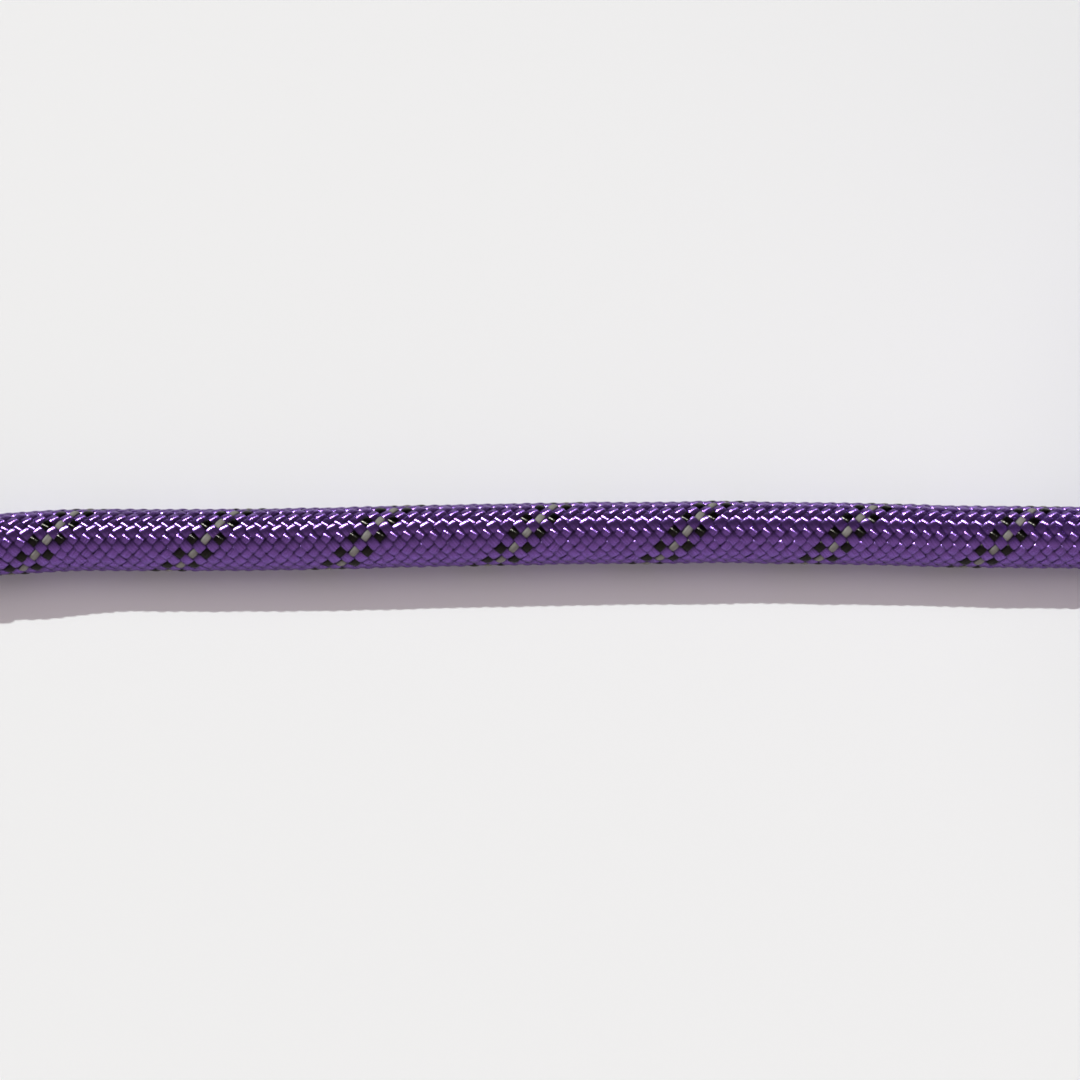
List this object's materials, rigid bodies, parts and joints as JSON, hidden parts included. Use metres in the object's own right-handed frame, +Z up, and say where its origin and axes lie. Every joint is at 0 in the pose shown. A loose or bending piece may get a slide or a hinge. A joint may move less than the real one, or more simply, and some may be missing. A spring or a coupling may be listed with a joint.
{
  "type": "dynamic climbing rope",
  "caption": "Kernmantle climbing rope: a straight stretch with braided sheath over a twisted-strand core, the rest folded into a tied hank in line with it.",
  "frame": {"origin": "on the ground, under the middle of the whole part's bounding box", "axes": "+X along the rope, from the free end to the hank; +Y across the loops; +Z up"},
  "size_m": [0.5033, 0.066, 0.11],
  "materials": {
    "rope_sheath": "braided polyamide, purple with one black and grey tracer",
    "core_yarn": "twisted polyamide yarn, undyed",
    "marker_tape": "thin polyester tape, plain",
    "fused_end": "melted and set polyamide",
    "end_sleeve": "heat-shrunk polyolefin, plain",
    "tie_webbing": "hook-and-loop strap"
  },
  "bodies": {
    "root": {"sheath_lead": "rope_sheath", "core_strand_01": "core_yarn", "core_strand_02": "core_yarn", "core_strand_03": "core_yarn", "core_strand_04": "core_yarn", "core_strand_05": "core_yarn", "core_strand_06": "core_yarn", "core_strand_07": "core_yarn", "core_strand_08": "core_yarn", "core_strand_09": "core_yarn", "core_strand_10": "core_yarn", "core_strand_11": "core_yarn", "core_strand_12": "core_yarn", "marker_tape": "marker_tape", "rope_hank": "rope_sheath", "fused_end_lead": "fused_end", "fused_end_hank": "fused_end", "end_sleeve_lead": "end_sleeve", "end_sleeve_hank": "end_sleeve", "hank_tie": "tie_webbing"}
  },
  "joints": []
}
